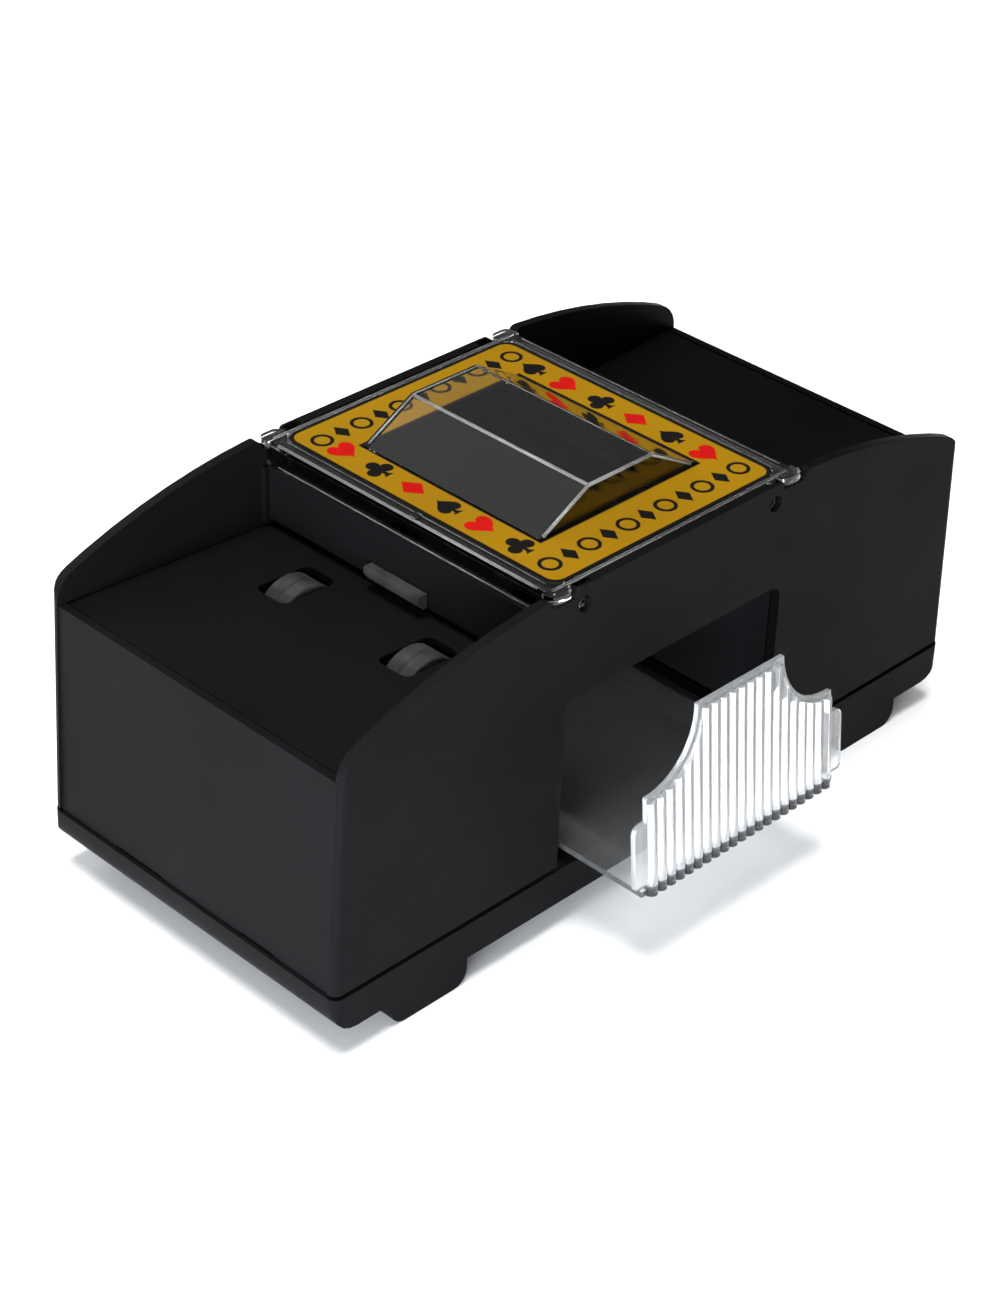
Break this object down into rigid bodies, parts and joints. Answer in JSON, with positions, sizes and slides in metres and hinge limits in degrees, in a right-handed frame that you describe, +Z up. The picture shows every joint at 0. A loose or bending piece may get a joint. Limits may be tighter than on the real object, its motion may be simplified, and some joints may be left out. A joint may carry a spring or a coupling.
{
  "type": "automatic card shuffler",
  "caption": "Battery-driven card shuffler: arched black housing, sloping card platforms, clear domed cover and ribbed clear output tray.",
  "frame": {"origin": "on the table plane, under the middle of the whole object with the tray at rest (pulled partly out)", "axes": "+X along the long side of the housing, -Y the way the output tray slides out, +Z up"},
  "size_m": [0.209, 0.1236, 0.099],
  "materials": {
    "black_abs": "satin fine-grained moulded black plastic",
    "inner_plastic": "plain matt dark grey plastic",
    "clear_plastic": "clear polished polystyrene",
    "gold_label": "printed gold foil with suit marks and a black border",
    "red_button": "glossy red plastic",
    "rubber": "matt black rubber",
    "steel": "ground steel",
    "screw_steel": "zinc plated steel",
    "contact_plate": "bright nickel plated steel",
    "cell_sleeve": "plain dark shrink sleeve with bright steel ends",
    "white_acetal": "off-white acetal",
    "brass": "turned brass",
    "motor_can": "drawn steel can"
  },
  "bodies": {
    "housing": {"body_shell": "black_abs", "base_shell": "black_abs", "left_platform": "black_abs", "right_platform": "black_abs", "left_gate": "black_abs", "right_gate": "black_abs", "left_chassis": "inner_plastic", "right_chassis": "inner_plastic", "button_housing": "inner_plastic", "power_switch": "inner_plastic", "left_retard_pad": "rubber", "right_retard_pad": "rubber", "left_idler_pin": "steel", "right_idler_pin": "steel", "case_screw_1": "screw_steel", "case_screw_2": "screw_steel", "case_screw_3": "screw_steel", "case_screw_4": "screw_steel", "chassis_screw_1": "screw_steel", "chassis_screw_2": "screw_steel", "chassis_screw_3": "screw_steel", "chassis_screw_4": "screw_steel", "contact_front_outer": "contact_plate", "contact_front_inner": "contact_plate", "contact_rear_outer": "contact_plate", "contact_rear_bridge": "contact_plate", "contact_rear_inner": "contact_plate", "battery_spring_1": "contact_plate", "battery_spring_2": "contact_plate", "battery_spring_3": "contact_plate", "battery_spring_4": "contact_plate", "button_spring": "contact_plate", "battery_cell_1": "cell_sleeve", "battery_cell_2": "cell_sleeve", "battery_cell_3": "cell_sleeve", "battery_cell_4": "cell_sleeve", "left_motor": "motor_can", "right_motor": "motor_can"},
    "cover": {"cover": "clear_plastic", "label": "gold_label"},
    "output_tray": {"output_tray": "clear_plastic"},
    "battery_hatch": {"battery_hatch": "black_abs"},
    "push_button": {"push_button": "red_button"},
    "left_roller": {"left_roller_shaft": "steel", "left_roller_front": "rubber", "left_roller_rear": "rubber", "left_roller_gear": "white_acetal"},
    "left_idler": {"left_idler_gear": "white_acetal"},
    "left_rotor": {"left_motor_shaft": "steel", "left_motor_pinion": "brass"},
    "right_roller": {"right_roller_shaft": "steel", "right_roller_front": "rubber", "right_roller_rear": "rubber", "right_roller_gear": "white_acetal"},
    "right_idler": {"right_idler_gear": "white_acetal"},
    "right_rotor": {"right_motor_shaft": "steel", "right_motor_pinion": "brass"}
  },
  "joints": [
    {"name": "cover_lift", "type": "slide", "parent": "housing", "child": "cover", "axis": [0, 0, 1], "range_m": [0, 0.04]},
    {"name": "tray_slide", "type": "slide", "parent": "housing", "child": "output_tray", "axis": [0, -1, 0], "range_m": [-0.0235, 0.0588]},
    {"name": "hatch_slide", "type": "slide", "parent": "housing", "child": "battery_hatch", "axis": [1, 0, 0], "range_m": [0, 0.058]},
    {"name": "button_press", "type": "slide", "parent": "housing", "child": "push_button", "axis": [0, -1, 0], "range_m": [0, 0.0025], "stiffness_N_per_m": 400, "springref_m": -0.001, "deforming": ["button_spring"]},
    {"name": "left_roller_spin", "type": "hinge", "parent": "housing", "child": "left_roller", "pos_m": [-0.054, 0.01082, 0.0609], "axis": [0, 1, 0], "continuous": true},
    {"name": "left_idler_spin", "type": "hinge", "parent": "housing", "child": "left_idler", "pos_m": [-0.054, 0.01082, 0.05245], "axis": [0, 1, 0], "continuous": true},
    {"name": "left_rotor_spin", "type": "hinge", "parent": "housing", "child": "left_rotor", "pos_m": [-0.054, 0.01082, 0.0392], "axis": [0, 1, 0], "continuous": true},
    {"name": "right_roller_spin", "type": "hinge", "parent": "housing", "child": "right_roller", "pos_m": [0.054, 0.01082, 0.0609], "axis": [0, 1, 0], "continuous": true},
    {"name": "right_idler_spin", "type": "hinge", "parent": "housing", "child": "right_idler", "pos_m": [0.054, 0.01082, 0.05245], "axis": [0, 1, 0], "continuous": true},
    {"name": "right_rotor_spin", "type": "hinge", "parent": "housing", "child": "right_rotor", "pos_m": [0.054, 0.01082, 0.0392], "axis": [0, 1, 0], "continuous": true}
  ],
  "couplings": [
    {"joint": "left_idler_spin", "follows": "left_roller_spin", "ratio": -1.3333},
    {"joint": "left_rotor_spin", "follows": "left_roller_spin", "ratio": 4.5333},
    {"joint": "right_idler_spin", "follows": "right_roller_spin", "ratio": -1.3333},
    {"joint": "right_rotor_spin", "follows": "right_roller_spin", "ratio": 4.5333}
  ]
}
